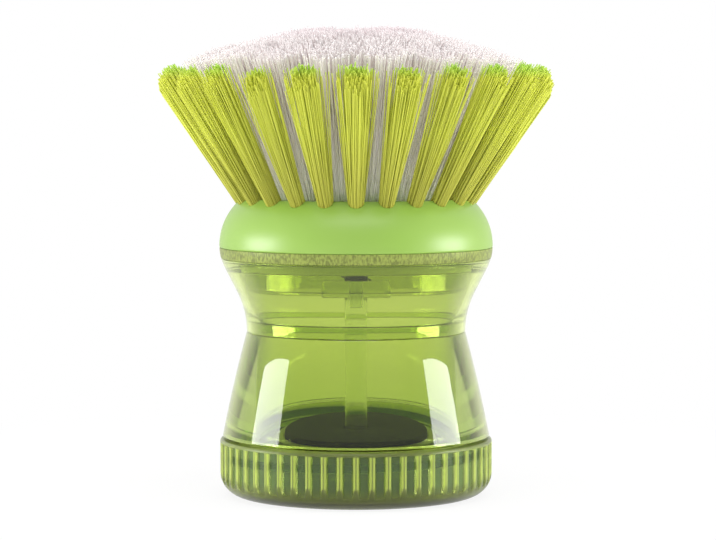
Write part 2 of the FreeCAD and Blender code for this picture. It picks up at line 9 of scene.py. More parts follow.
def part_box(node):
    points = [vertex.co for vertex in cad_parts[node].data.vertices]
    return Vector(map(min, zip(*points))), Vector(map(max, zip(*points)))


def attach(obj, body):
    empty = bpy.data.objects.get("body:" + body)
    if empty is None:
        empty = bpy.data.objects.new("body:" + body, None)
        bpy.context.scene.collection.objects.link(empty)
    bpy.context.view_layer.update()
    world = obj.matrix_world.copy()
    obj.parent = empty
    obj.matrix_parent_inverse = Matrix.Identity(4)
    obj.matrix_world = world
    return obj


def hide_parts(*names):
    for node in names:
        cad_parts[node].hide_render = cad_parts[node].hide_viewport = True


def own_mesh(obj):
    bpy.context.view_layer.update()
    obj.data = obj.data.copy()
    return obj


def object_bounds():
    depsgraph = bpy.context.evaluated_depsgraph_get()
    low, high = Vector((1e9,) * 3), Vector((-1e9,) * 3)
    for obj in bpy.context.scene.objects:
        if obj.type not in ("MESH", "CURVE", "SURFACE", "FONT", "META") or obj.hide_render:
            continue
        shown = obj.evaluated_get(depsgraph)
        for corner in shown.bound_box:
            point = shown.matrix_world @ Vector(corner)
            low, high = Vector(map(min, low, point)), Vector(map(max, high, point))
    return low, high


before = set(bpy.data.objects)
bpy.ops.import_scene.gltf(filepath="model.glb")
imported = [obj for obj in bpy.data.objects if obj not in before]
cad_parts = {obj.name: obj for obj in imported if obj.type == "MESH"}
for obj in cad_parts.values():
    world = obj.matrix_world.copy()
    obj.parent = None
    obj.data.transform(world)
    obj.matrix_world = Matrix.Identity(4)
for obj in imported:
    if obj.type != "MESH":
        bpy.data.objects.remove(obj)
cad_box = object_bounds()


# Camera
# The eye is level with the bristle tips and about 60 cm in front of the brush.
# A long lens looks slightly down, so the caps and seams show as shallow ellipses.
photo_width = 716
photo_height = 540
focal_pixels = 3000
eye_level_row = 80
eye = Vector((0.0004, -0.6186, 0.0857))
camera = bpy.data.objects.new("camera", bpy.data.cameras.new("camera"))
camera.data.sensor_width = 36
camera.data.lens = camera.data.sensor_width * focal_pixels / photo_width
camera.data.clip_start = 0.01
camera.location = eye
look_down = math.atan((photo_height / 2 - eye_level_row) / focal_pixels)
camera.rotation_euler = (math.pi / 2 - look_down, 0, 0)
bpy.context.scene.collection.objects.link(camera)
bpy.context.scene.camera = camera


# Screw cap
# A clear green moulding with upright grip ribs round its side, a rounded foot and a female thread.
# A sleeve stands in the middle of its floor, where the push button slides.
MM = 0.001


def arc(centre, radius, start, end, steps=8):
    """Outline points round a centre, from one angle to another, in degrees."""
    turns = [math.radians(start + (end - start) * i / steps) for i in range(steps + 1)]
    return [(centre[0] + radius * math.cos(t), centre[1] + radius * math.sin(t)) for t in turns]


def sharp_edges(bm, limit=40):
    """The edges where two faces meet at more than a limit, in degrees."""
    return [edge for edge in bm.edges if len(edge.link_faces) == 2
            and edge.calc_face_angle() > math.radians(limit)]


def turned(outline, steps=192, eased=0.2 * MM):
    """A solid turned about Z from an outline of (radius, height) points, its edges eased."""
    bm = bmesh.new()
    corners = [bm.verts.new((r, 0, z)) for r, z in outline]
    sides = [bm.edges.new(pair) for pair in zip(corners, corners[1:])]
    if outline[0][0] > 0:
        sides.append(bm.edges.new((corners[-1], corners[0])))
    bmesh.ops.spin(bm, geom=corners + sides, cent=(0, 0, 0), axis=(0, 0, 1), angle=2 * math.pi,
                   steps=steps, use_merge=True)
    bmesh.ops.remove_doubles(bm, verts=bm.verts, dist=0.0005 * MM)
    bmesh.ops.recalc_face_normals(bm, faces=bm.faces)
    if eased:
        bmesh.ops.bevel(bm, geom=sharp_edges(bm), offset=eased, affect="EDGES", segments=3,
                        profile=0.5, material=-1, clamp_overlap=True)
    return bm


def thread_ridge(bm, section, pitch, turns, steps_per_turn=96):
    """Adds a screw ridge: a section face swept up a helix about Z."""
    face = bm.faces.new([bm.verts.new((r, 0, z)) for r, z in section])
    steps = round(turns * steps_per_turn)
    bmesh.ops.spin(bm, geom=[face], cent=(0, 0, 0), axis=(0, 0, 1), dvec=(0, 0, pitch * turns / steps),
                   angle=2 * math.pi * turns, steps=steps)
    bmesh.ops.recalc_face_normals(bm, faces=bm.faces)


plain_crease = 35


def piece(name, bm, finish, body, slot, *nodes, crease=plain_crease):
    """Makes an object of a mesh, gives it a finish and sets it on its body in place of CAD nodes.

    Edges sharper than the crease, in degrees, are shaded sharp."""
    mesh = bpy.data.meshes.new(name)
    bm.to_mesh(mesh)
    bm.free()
    mesh.shade_smooth()
    mesh.set_sharp_from_angle(angle=math.radians(crease))
    mesh.materials.append(finish)
    made = bpy.data.objects.new(name, mesh)
    bpy.context.scene.collection.objects.link(made)
    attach(made, body)
    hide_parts(*nodes)
    return made


def new_finish(name):
    """A node material with its Principled shader and Object coordinates ready to wire."""
    finish = bpy.data.materials.new(name)
    finish.use_nodes = True
    shader = finish.node_tree.nodes["Principled BSDF"]
    coords = finish.node_tree.nodes.new("ShaderNodeTexCoord")
    return finish, finish.node_tree.nodes, finish.node_tree.links, shader, coords


def noise(nodes, links, coords, scale, detail=3, stretch=(1, 1, 1)):
    """A noise texture on Object coordinates, stretched along an axis where asked."""
    mapping = nodes.new("ShaderNodeMapping")
    mapping.inputs["Scale"].default_value = stretch
    texture = nodes.new("ShaderNodeTexNoise")
    texture.inputs["Scale"].default_value = scale
    texture.inputs["Detail"].default_value = detail
    links.new(coords.outputs["Object"], mapping.inputs["Vector"])
    links.new(mapping.outputs["Vector"], texture.inputs["Vector"])
    return texture


def ramp(nodes, links, source, stops):
    """A colour ramp fed by a value, with (position, colour) stops."""
    node = nodes.new("ShaderNodeValToRGB")
    while len(node.color_ramp.elements) < len(stops):
        node.color_ramp.elements.new(0.5)
    for element, (place, colour) in zip(node.color_ramp.elements, stops):
        element.position = place
        element.color = (*colour, 1)
    links.new(source, node.inputs["Fac"])
    return node


def bump(nodes, links, shader, source, height, strength=0.3):
    """A shallow bump on a shader, its height in metres."""
    node = nodes.new("ShaderNodeBump")
    node.inputs["Strength"].default_value = strength
    node.inputs["Distance"].default_value = height
    links.new(source, node.inputs["Height"])
    links.new(node.outputs["Normal"], shader.inputs["Normal"])


def clear_green(name, tint, deep_tint, haze):
    """Clear plastic, polished, its green deeper where the wall is thick, with painted light on the sides
    where it is seen edge on.
    """
    finish, nodes, links, shader, coords = new_finish(name)
    flow = noise(nodes, links, coords, 60, stretch=(1, 1, 0.3))
    links.new(ramp(nodes, links, flow.outputs["Fac"], [(0.35, deep_tint), (0.65, tint)]).outputs["Color"],
              shader.inputs["Base Color"])
    scuffs = noise(nodes, links, coords, 900, detail=4)
    gloss = ramp(nodes, links, scuffs.outputs["Fac"],
                 [(0.45, (haze, haze, haze)), (0.75, (haze * 2, haze * 2, haze * 2))])
    links.new(gloss.outputs["Color"], shader.inputs["Roughness"])
    bump(nodes, links, shader, flow.outputs["Fac"], 0.02 * MM, 0.05)
    shader.inputs["IOR"].default_value = 1.49
    # Painted light: seen edge on, the wall lets less through and shows its own green, so the thick sides
    # stay light.
    edge = nodes.new("ShaderNodeLayerWeight")
    edge.inputs["Blend"].default_value = 0.5
    edge_painted_light = ramp(nodes, links, edge.outputs["Facing"], [(0.45, (1.0,) * 3), (0.75, (0.62,) * 3)])
    links.new(edge_painted_light.outputs["Color"], shader.inputs["Transmission Weight"])
    depth = nodes.new("ShaderNodeVolumeAbsorption")
    depth.inputs["Color"].default_value = (0.47, 0.63, 0.17, 1)
    depth.inputs["Density"].default_value = 60
    links.new(depth.outputs["Volume"], nodes["Material Output"].inputs["Volume"])
    return finish


cap_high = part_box("screw_cap")[1]
cap_radius = cap_high.x
cap_rim = cap_high.z
cap_floor = 2.2 * MM
cap_bore = 25.25 * MM
foot_round = 4.8 * MM
sleeve_inside = 15.3 * MM
sleeve_outside = 16.9 * MM
sleeve_top = 10.6 * MM
finger_hole = 12.9 * MM
rib_count = 54
rib_depth = 0.6 * MM
rib_top = cap_rim - 0.7 * MM
rib_width_share = 0.5
steps_per_rib = 12
rib_end_step = 0.15 * MM
rim_round = 0.5 * MM

cap = turned(
    [(finger_hole, 0)]
    + arc((cap_radius - foot_round, foot_round), foot_round, -90, 0, 12)
    + [(cap_radius, rib_top - rib_end_step), (cap_radius, rib_top)]
    + arc((cap_radius - rim_round, cap_rim - rim_round), rim_round, 0, 90, 4)
    + [(cap_bore, cap_rim), (cap_bore, cap_floor), (sleeve_outside, cap_floor),
       (sleeve_outside, sleeve_top), (sleeve_inside, sleeve_top), (sleeve_inside, cap_floor),
       (finger_hole, cap_floor)],
    steps=rib_count * steps_per_rib, eased=0)
rib_pitch = 2 * math.pi / rib_count
rib_half = rib_pitch * rib_width_share / 2
# The attribute "rib" runs from groove to crest; the finish reads it for frost and for painted light on the
# crests and painted shade in the grooves.
rib_layer = cap.verts.layers.float.new("rib")
# The attribute "foot" rises towards the bottom of the foot and masks painted shade there.
foot_shade_layer = cap.verts.layers.float.new("foot")
foot_shade_fade = 2.5 * MM
wall_margin = 0.1 * MM
for vert in cap.verts:
    radius = vert.co.xy.length
    vert[rib_layer] = 0.5
    outside = radius > cap_bore + wall_margin or vert.co.z < cap_floor - wall_margin
    vert[foot_shade_layer] = min(1, max(0, (foot_round - vert.co.z) / foot_shade_fade)) if outside else 0
    if radius > cap_radius - rib_depth and vert.co.z < rib_top - rib_end_step / 2:
        turn = math.atan2(vert.co.y, vert.co.x) + math.pi / 2
        off_rib = abs((turn + rib_pitch / 2) % rib_pitch - rib_pitch / 2) / rib_half
        crown = math.sqrt(1 - off_rib ** 2) if off_rib < 1 else 0
        if cap_radius - rib_depth * (1 - crown) <= radius:
            vert.co.xy *= (cap_radius - rib_depth * (1 - crown)) / radius
            vert[rib_layer] = crown
thread_pitch = 3.0 * MM
thread_start = 4.8 * MM
thread_turns = 1.5
cap_thread_crest = 24.45 * MM


def thread_section(root, crest, level):
    """The trapezoid section of a thread, rooted a little way into its wall."""
    root_half = 0.8 * MM
    crest_half = 0.4 * MM
    embed = 0.15 * MM * (1 if root > crest else -1)
    return [(root + embed, level - root_half), (crest, level - crest_half),
            (crest, level + crest_half), (root + embed, level + root_half)]


cap_thread = thread_section(cap_bore, cap_thread_crest, thread_start + thread_pitch / 2)
thread_ridge(cap, cap_thread, thread_pitch, thread_turns)


def frosted_green(name):
    """Clear green plastic, frosted on the crests of the ribs, with painted light on the crests and painted
    shade in the grooves and on the foot.
    """
    finish, nodes, links, shader, coords = new_finish(name)
    rib = nodes.new("ShaderNodeAttribute")
    rib.attribute_name = "rib"
    # Painted light and shade: a dark green in the grooves, a bright one on the crests.
    tint = ramp(nodes, links, rib.outputs["Fac"],
                [(0, (0.24, 0.38, 0.12)), (0.5, (0.66, 0.76, 0.20)), (1, (0.82, 1.0, 0.15))])
    foot = nodes.new("ShaderNodeAttribute")
    foot.attribute_name = "foot"
    # Painted shade: the foot is mixed towards a dark olive.
    colour = nodes.new("ShaderNodeMixRGB")
    links.new(foot.outputs["Fac"], colour.inputs["Fac"])
    links.new(tint.outputs["Color"], colour.inputs["Color1"])
    colour.inputs["Color2"].default_value = (0.28, 0.31, 0.06, 1)
    links.new(colour.outputs["Color"], shader.inputs["Base Color"])
    cloud = ramp(nodes, links, rib.outputs["Fac"], [(0, (0.85,) * 3), (0.5, (0.9,) * 3), (1, (0.5,) * 3)])
    links.new(cloud.outputs["Color"], shader.inputs["Transmission Weight"])
    frost = ramp(nodes, links, rib.outputs["Fac"], [(0, (0.25,) * 3), (0.5, (0.3,) * 3), (1, (0.45,) * 3)])
    links.new(frost.outputs["Color"], shader.inputs["Roughness"])
    grain = noise(nodes, links, coords, 1800, detail=4)
    bump(nodes, links, shader, grain.outputs["Fac"], 0.02 * MM, 0.2)
    shader.inputs["IOR"].default_value = 1.49
    shader.inputs["Specular IOR Level"].default_value = 0.25
    return finish


piece("cap", cap, frosted_green("frosted_green"), "cap", "clear_green_cap", "screw_cap")


# Cap gasket
# A flat silicone ring that lies on the cap's floor and seals the rim of the neck.
def soft_rubber(name, colour, dusty):
    """Matte rubber with a fine mould texture and slightly dusty high spots."""
    finish, nodes, links, shader, coords = new_finish(name)
    grain = noise(nodes, links, coords, 2500, detail=4)
    links.new(ramp(nodes, links, grain.outputs["Fac"], [(0.4, colour), (0.8, dusty)]).outputs["Color"],
              shader.inputs["Base Color"])
    bump(nodes, links, shader, grain.outputs["Fac"], 0.03 * MM)
    shader.inputs["Roughness"].default_value = 0.62
    return finish


def flat_ring(node, wall):
    """A turned ring that fills the box of a flat CAD ring, given its wall."""
    low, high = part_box(node)
    return turned([(high.x - wall, low.z), (high.x, low.z), (high.x, high.z), (high.x - wall, high.z)],
                  steps=128)


# Painted shade: this silicone is a darker copy of the pale seal's, kept dark under the cap's foot.
silicone_painted_shade = soft_rubber("silicone_painted_shade", (0.34, 0.38, 0.12), (0.40, 0.44, 0.16))
gasket = flat_ring("cap_gasket", wall=2.4 * MM)
piece("gasket", gasket, silicone_painted_shade, "neck_seal", "soft_seal", "cap_gasket")


# Push button
# A black moulded cup that slides in the cap's sleeve. The finger presses its slightly dished pad,
# and a groove round its side holds the ring seal.
def black_plastic(name, roughness, grain_scale, grain_height):
    """Black moulded plastic with a spark-eroded grain."""
    finish, nodes, links, shader, coords = new_finish(name)
    grain = noise(nodes, links, coords, grain_scale, detail=5)
    links.new(ramp(nodes, links, grain.outputs["Fac"],
                   [(0.3, (0.010, 0.010, 0.011)), (0.7, (0.018, 0.018, 0.019))]).outputs["Color"],
              shader.inputs["Base Color"])
    bump(nodes, links, shader, grain.outputs["Fac"], grain_height)
    shader.inputs["Roughness"].default_value = roughness
    return finish


button_low, button_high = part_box("push_button")
button_radius = button_high.x
button_top = button_high.z
pad_level = button_low.z
pad_radius = 12.6 * MM
pad_dish = 0.5 * MM
pad_round = 0.6 * MM
button_bore = 11.6 * MM
cup_floor = 3.5 * MM
seal_level = 6.2 * MM
seal_groove_half = 1.0 * MM
groove_low = seal_level - seal_groove_half
groove_high = seal_level + seal_groove_half
seal_groove_floor = 13.3 * MM
dish_span = 9.5 * MM
dish_radius = (dish_span ** 2 + pad_dish ** 2) / (2 * pad_dish)
dish_angle = math.degrees(math.asin(dish_span / dish_radius))
button = turned(
    arc((0, pad_level + pad_dish - dish_radius), dish_radius, 90, 90 - dish_angle, 10)
    + arc((pad_radius - pad_round, pad_level + pad_round), pad_round, -90, 0, 5)
    + [(pad_radius, cap_floor), (button_radius, cap_floor), (button_radius, groove_low),
       (seal_groove_floor, groove_low), (seal_groove_floor, groove_high), (button_radius, groove_high),
       (button_radius, button_top), (button_bore, button_top), (button_bore, cup_floor), (0, cup_floor)])
matte_black = black_plastic("matte_black", 0.45, 3000, 0.04 * MM)
piece("button", button, matte_black, "button", "black_button", "push_button")


# Button lid
# A satin black disc that snaps into the top of the button and closes the bottom of the soap store.
# The foot of the valve stem stands in the recess at its centre.
lid_low, lid_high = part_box("button_lid")
lid_top = lid_high.z
lid_radius = lid_high.x
spigot_outside = 11.5 * MM
spigot_inside = 10.2 * MM
foot_recess = 2.6 * MM
foot_recess_floor = 10.7 * MM
lid = turned(
    [(0, button_top), (spigot_inside, button_top), (spigot_inside, lid_low.z), (spigot_outside, lid_low.z),
     (spigot_outside, button_top), (lid_radius, button_top), (lid_radius, lid_top), (foot_recess, lid_top),
     (foot_recess, foot_recess_floor), (0, foot_recess_floor)])
satin_black = black_plastic("satin_black", 0.7, 700, 0.02 * MM)
satin_black.node_tree.nodes["Principled BSDF"].inputs["Specular IOR Level"].default_value = 0.15
piece("lid", lid, satin_black, "button", "black_lid", "button_lid")


# Button seal
# A black rubber ring in the button's groove, which rubs on the sleeve and keeps the soap in.
seal_section = 0.9 * MM
seal_circle = 14.3 * MM
upright = Matrix.Rotation(math.pi / 2, 3, "X")
ring = bmesh.new()
profile = bmesh.ops.create_circle(ring, segments=20, radius=seal_section, cap_ends=False)["verts"]
bmesh.ops.rotate(ring, verts=profile, cent=(0, 0, 0), matrix=upright)
bmesh.ops.translate(ring, verts=profile, vec=(seal_circle, 0, seal_level))
bmesh.ops.spin(ring, geom=profile + ring.edges[:], cent=(0, 0, 0), axis=(0, 0, 1), angle=2 * math.pi,
               steps=128, use_merge=True)
bmesh.ops.remove_doubles(ring, verts=ring.verts, dist=0.0005 * MM)
bmesh.ops.recalc_face_normals(ring, faces=ring.faces)
black_rubber = soft_rubber("black_rubber", (0.012, 0.012, 0.012), (0.03, 0.03, 0.03))
piece("seal_ring", ring, black_rubber, "button", "black_rubber", "button_seal")


# Lower body
# The lower half of the clear reservoir: a threaded neck, a shoulder over the cap and a cone up to the
# waist. Its bore is nearly straight, so the wall is thick at the foot and bends what is seen through it.
body_low, body_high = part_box("lower_body")
neck_rim = body_low.z
tongue_top = body_high.z
neck_radius = 24.2 * MM
neck_bore = 21.6 * MM
shoulder_radius = body_high.x
shoulder = 12.4 * MM
waist_radius = 22.6 * MM
waist = 33.9 * MM
waist_bore = 20.9 * MM
tongue_radius = 21.6 * MM
cone_swell = 0.2 * MM
neck_thread_crest = 25.0 * MM


def cone_side(steps=12):
    """The cone's outside, from shoulder to waist, swelling slightly at mid height."""
    points = []
    for i in range(steps + 1):
        share = i / steps
        swell = cone_swell * 4 * share * (1 - share)
        points.append((shoulder_radius + (waist_radius - shoulder_radius) * share + swell,
                       shoulder + (waist - shoulder) * share))
    return points


lower = turned(
    [(neck_bore, neck_rim), (neck_radius, neck_rim), (neck_radius, shoulder)] + cone_side()
    + [(tongue_radius, waist), (tongue_radius, tongue_top), (waist_bore, tongue_top)])
neck_thread = thread_section(neck_radius, neck_thread_crest, thread_start)
thread_ridge(lower, neck_thread, thread_pitch, thread_turns)
shell_green = clear_green("clear_green_shell", (0.72, 0.80, 0.32), (0.69, 0.78, 0.28), 0.015)
piece("reservoir_lower", lower, shell_green, "reservoir", "clear_green_shell", "lower_body", crease=4)


# Upper body
# The upper half of the reservoir, welded to the lower half at the waist. It flares out to the head,
# and its mouth takes the skirt of the valve plate.
upper_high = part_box("upper_body")[1]
seam = upper_high.z
flare = 27
waist_round = 18.0 * MM
bulge_round = 10.4 * MM
bulge_radius = 28.2 * MM
bulge_level = 51.7 * MM
seam_radius = upper_high.x
mouth_radius = 24.72 * MM
mouth_step = seam - 1.8 * MM
skirt_room = 23.22 * MM
skirt_bottom = 43.6 * MM
weld_gap = 0.05 * MM
air_gap = 0.03 * MM
seam_angle = math.degrees(math.asin((bulge_level - seam) / bulge_round))
upper = turned(
    [(tongue_radius + weld_gap, waist + air_gap), (waist_radius, waist + air_gap)]
    + arc((waist_radius + waist_round, waist), waist_round, 180, 180 - flare, 10)[1:]
    + arc((bulge_radius - bulge_round, bulge_level), bulge_round, -flare, -seam_angle, 6)[:-1]
    + [(seam_radius, seam - air_gap), (mouth_radius, seam - air_gap), (mouth_radius, mouth_step),
       (skirt_room, skirt_bottom), (waist_bore, tongue_top + weld_gap),
       (tongue_radius + weld_gap, tongue_top + weld_gap)])
piece("reservoir_upper", upper, shell_green, "reservoir", "clear_green_shell", "upper_body", crease=4)


# Valve plate
# A clear disc that closes the reservoir. Its frosted rim shows as a narrow band below the head, its
# skirt hangs inside the mouth, and the soap passes through the hole at its centre.
plate_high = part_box("valve_plate")[1]
plate_top = 51.3 * MM
plate_underside = 48.1 * MM
skirt_outside = 22.92 * MM
skirt_inside = 21.72 * MM
valve_bore = 2.0 * MM
spring_pocket = 3.6 * MM
spring_pocket_top = 49.3 * MM
locating_outside = 25.2 * MM
locating_inside = 24.0 * MM
locating_top = plate_high.z
plate_angle = math.degrees(math.asin((bulge_level - plate_top) / bulge_round))
plate = turned(
    [(valve_bore, spring_pocket_top), (spring_pocket, spring_pocket_top), (spring_pocket, plate_underside),
     (skirt_inside, plate_underside), (skirt_inside, skirt_bottom), (skirt_outside, skirt_bottom),
     (skirt_outside, seam)]
    + arc((bulge_radius - bulge_round, bulge_level), bulge_round, -seam_angle, -plate_angle, 4)
    + [(locating_outside, plate_top), (locating_outside, locating_top), (locating_inside, locating_top),
       (locating_inside, plate_top), (valve_bore, plate_top)], eased=0.15 * MM)
rim_margin = 0.5 * MM
rim_layer = plate.verts.layers.float.new("rim")
for vert in plate.verts:
    vert[rim_layer] = 1 if vert.co.xy.length > skirt_outside + rim_margin else 0


def knurled_green(name):
    """Clear green plastic, frosted and finely knurled on the rim that shows below the head."""
    finish = clear_green(name, (0.74, 0.77, 0.45), (0.70, 0.74, 0.41), 0.04)
    nodes = finish.node_tree.nodes
    links = finish.node_tree.links
    shader = nodes["Principled BSDF"]
    rim = nodes.new("ShaderNodeAttribute")
    rim.attribute_name = "rim"
    coords = nodes.new("ShaderNodeTexCoord")
    knurl = noise(nodes, links, coords, 2400, detail=2, stretch=(1, 1, 0.5))
    dots = ramp(nodes, links, knurl.outputs["Fac"], [(0.38, (0.19, 0.23, 0.04)), (0.6, (0.38, 0.46, 0.08))])
    clear_colour = shader.inputs["Base Color"].links[0].from_socket
    colour = nodes.new("ShaderNodeMixRGB")
    links.new(rim.outputs["Fac"], colour.inputs["Fac"])
    links.new(clear_colour, colour.inputs["Color1"])
    links.new(dots.outputs["Color"], colour.inputs["Color2"])
    links.new(colour.outputs["Color"], shader.inputs["Base Color"])
    frost = ramp(nodes, links, rim.outputs["Fac"], [(0, (0.04,) * 3), (1, (0.4,) * 3)])
    links.new(frost.outputs["Color"], shader.inputs["Roughness"])
    cloud = ramp(nodes, links, rim.outputs["Fac"], [(0, (1.0,) * 3), (1, (0.25,) * 3)])
    links.new(cloud.outputs["Color"], shader.inputs["Transmission Weight"])
    return finish


plate_green = knurled_green("clear_green_plate")
piece("plate", plate, plate_green, "reservoir", "clear_green_plate", "valve_plate", crease=4)


# Plate seal
# A silicone ring, squeezed between the plate's skirt and the mouth of the upper body. Its pale colour is
# painted light, lifting the ring out of the shade it sits in.
silicone_painted_light = soft_rubber("silicone_painted_light", (0.90, 0.95, 0.66), (0.93, 0.97, 0.72))
mouth_seal = flat_ring("plate_seal", wall=1.6 * MM)
piece("mouth_seal", mouth_seal, silicone_painted_light, "reservoir", "soft_seal", "plate_seal")


# Valve stem
# A milky green rod that stands on the button's lid and carries a broad collar under the valve plate.
stem_low, stem_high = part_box("push_stem")
stem_radius = 2.3 * MM
stem_foot = stem_low.z
collar_top = stem_high.z
collar_radius = stem_high.x
collar_bottom = collar_top - 2.8 * MM
socket_radius = 1.25 * MM
socket_floor = collar_top - 6.05 * MM
stem = turned(
    [(0, stem_foot), (stem_radius, stem_foot), (stem_radius, collar_bottom), (collar_radius, collar_bottom),
     (collar_radius, collar_top), (socket_radius, collar_top), (socket_radius, socket_floor),
     (0, socket_floor)],
    steps=96, eased=0.25 * MM)


def milky_green(name):
    """Milky translucent plastic, clouded unevenly along its length."""
    finish, nodes, links, shader, coords = new_finish(name)
    cloud = noise(nodes, links, coords, 120, stretch=(1, 1, 0.4))
    links.new(ramp(nodes, links, cloud.outputs["Fac"],
                   [(0.3, (0.97, 1.0, 0.90)), (0.7, (0.99, 1.0, 0.94))]).outputs["Color"],
              shader.inputs["Base Color"])
    bump(nodes, links, shader, cloud.outputs["Fac"], 0.03 * MM)
    shader.inputs["Roughness"].default_value = 0.2
    shader.inputs["Transmission Weight"].default_value = 0.95
    shader.inputs["IOR"].default_value = 1.12
    return finish


piece("stem", stem, milky_green("milky_green"), "stem", "milky_stem", "push_stem")


# Valve plug
# A black rubber mushroom on a clear core. The core's shank is pushed into the stem, the rubber head closes
# the plate's hole, and the boss under the plate centres the return spring.
plug_low, plug_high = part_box("valve_plug")
shank_radius = 1.2 * MM
plug_radius = plug_high.x
plug_edge = 0.4 * MM
boss_radius = 2.4 * MM
boss_top = collar_top + 1.2 * MM
plug_rise = plug_high.z - plate_top - plug_edge
plug_dome = (plug_radius ** 2 + plug_rise ** 2) / (2 * plug_rise)
plug_angle = math.degrees(math.asin(plug_radius / plug_dome))
plug = turned(
    [(0, plug_low.z), (shank_radius, plug_low.z), (shank_radius, collar_top), (boss_radius, collar_top),
     (boss_radius, boss_top), (shank_radius, boss_top), (shank_radius, plate_top), (plug_radius, plate_top)]
    + arc((0, plug_high.z - plug_dome), plug_dome, 90 - plug_angle, 90, 8)[:-1] + [(0, plug_high.z)],
    steps=64, eased=0.1 * MM)
core_margin = 0.15 * MM
core_layer = plug.verts.layers.float.new("core")
for vert in plug.verts:
    low_enough = vert.co.z < collar_top + core_margin
    slim_enough = vert.co.xy.length < shank_radius + core_margin
    vert[core_layer] = 1 if low_enough and slim_enough else 0


def cored_rubber(name):
    """Black rubber round a clear core, where the attribute "core" is one."""
    finish = soft_rubber(name, (0.012, 0.012, 0.012), (0.03, 0.03, 0.03))
    nodes = finish.node_tree.nodes
    links = finish.node_tree.links
    shader = nodes["Principled BSDF"]
    core = nodes.new("ShaderNodeAttribute")
    core.attribute_name = "core"
    colour = nodes.new("ShaderNodeMixRGB")
    links.new(core.outputs["Fac"], colour.inputs["Fac"])
    links.new(shader.inputs["Base Color"].links[0].from_socket, colour.inputs["Color1"])
    colour.inputs["Color2"].default_value = (0.97, 1.0, 0.90, 1)
    links.new(colour.outputs["Color"], shader.inputs["Base Color"])
    links.new(core.outputs["Fac"], shader.inputs["Transmission Weight"])
    shader.inputs["IOR"].default_value = 1.12
    return finish


piece("plug", plug, cored_rubber("plug_rubber"), "stem", "black_rubber", "valve_plug")


# Return spring
# Blackened steel wire in an open coil between the collar and the plate, squeezed as the stem lifts.
spring_low, spring_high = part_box("return_spring")
wire_radius = 0.2 * MM
coil_radius = 2.9 * MM
coil_turns = 2.5
coil_rise = spring_high.z - spring_low.z - 2 * wire_radius
coil = bmesh.new()
loop = bmesh.ops.create_circle(coil, segments=10, radius=wire_radius, cap_ends=True)["verts"]
bmesh.ops.rotate(coil, verts=loop, cent=(0, 0, 0), matrix=upright)
bmesh.ops.translate(coil, verts=loop, vec=(coil_radius, 0, spring_low.z + wire_radius))
coil_steps = 100
bmesh.ops.spin(coil, geom=coil.faces[:], cent=(0, 0, 0), axis=(0, 0, 1), angle=2 * math.pi * coil_turns,
               steps=coil_steps, dvec=(0, 0, coil_rise / coil_steps))
bmesh.ops.recalc_face_normals(coil, faces=coil.faces)


def spring_steel(name):
    """Drawn wire, blackened, with fine brighter lines along it."""
    finish, nodes, links, shader, coords = new_finish(name)
    lines = noise(nodes, links, coords, 1500, stretch=(1, 1, 6))
    links.new(ramp(nodes, links, lines.outputs["Fac"],
                   [(0.3, (0.06, 0.06, 0.058)), (0.7, (0.16, 0.16, 0.155))]).outputs["Color"],
              shader.inputs["Base Color"])
    shader.inputs["Metallic"].default_value = 1.0
    shader.inputs["Roughness"].default_value = 0.28
    return finish


spring = piece("spring", coil, spring_steel("spring_steel"), "reservoir", "spring_wire", "return_spring")
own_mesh(spring)


# Brush head
# A solid block of opaque green plastic, polished, with a broad round shoulder. It holds the tufts in
# drilled holes that lean outwards, and its hollow underside is the chamber of the valve.
head_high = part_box("brush_head")[1]
head_top = head_high.z
shoulder_round = 12.5 * MM
shoulder_centre = (bulge_radius - shoulder_round, bulge_level)
chamber_radius = 4.2 * MM
chamber_top = 55.3 * MM
outlet_radius = 2.0 * MM
groove_gap = 0.05 * MM
low_angle = math.degrees(math.asin((plate_top - bulge_level) / shoulder_round))
high_angle = math.degrees(math.asin((head_top - bulge_level) / shoulder_round))
head = turned(
    [(chamber_radius, plate_top), (locating_inside - groove_gap, plate_top),
     (locating_inside - groove_gap, locating_top + groove_gap),
     (locating_outside + groove_gap, locating_top + groove_gap), (locating_outside + groove_gap, plate_top)]
    + arc(shoulder_centre, shoulder_round, low_angle, high_angle, 28)
    + [(outlet_radius, head_top), (outlet_radius, chamber_top), (chamber_radius, chamber_top)],
    steps=240, eased=0.3 * MM)


def glossy_green(name):
    """Opaque moulded plastic, polished, with slow swirls of tone and a faint orange-peel."""
    finish, nodes, links, shader, coords = new_finish(name)
    swirl = noise(nodes, links, coords, 45)
    links.new(ramp(nodes, links, swirl.outputs["Fac"],
                   [(0.3, (0.24, 0.42, 0.050)), (0.7, (0.28, 0.46, 0.075))]).outputs["Color"],
              shader.inputs["Base Color"])
    peel = noise(nodes, links, coords, 700, detail=2)
    bump(nodes, links, shader, peel.outputs["Fac"], 0.01 * MM, 0.2)
    shader.inputs["Roughness"].default_value = 0.36
    shader.inputs["Specular IOR Level"].default_value = 0.7
    return finish


head_piece = piece("head", head, glossy_green("glossy_green"), "reservoir", "green_head", "brush_head")

green_hole = 1.652 * MM
white_hole = 2.053 * MM
hole_depth = 5.4 * MM
green_circle = 23.6 * MM
green_lean = 32.5
inner_circle_share = 0.258
row_spacing = green_circle * (1 - inner_circle_share) / 3
white_lean_share = 0.9


def tuft_axis(circle, height, lean, turn):
    """The mouth of a tuft hole and the direction its tuft leans in."""
    lean = math.radians(lean)
    outward = Vector((math.cos(turn), math.sin(turn), 0))
    mouth = outward * circle + Vector((0, 0, height))
    return mouth, outward * math.sin(lean) + Vector((0, 0, math.cos(lean)))


def ring_axes(count, circle, lean, first_turn):
    """The axes of a whole ring of tufts, from the first one's turn about Z."""
    return [tuft_axis(circle, head_top, lean, first_turn + 2 * math.pi * i / count) for i in range(count)]


def white_axes(count, rows_in):
    """The axes of a white ring some rows in from the green ring, leaning less towards the middle."""
    circle = green_circle - row_spacing * rows_in
    return ring_axes(count, circle, green_lean * white_lean_share * circle / green_circle, 0)


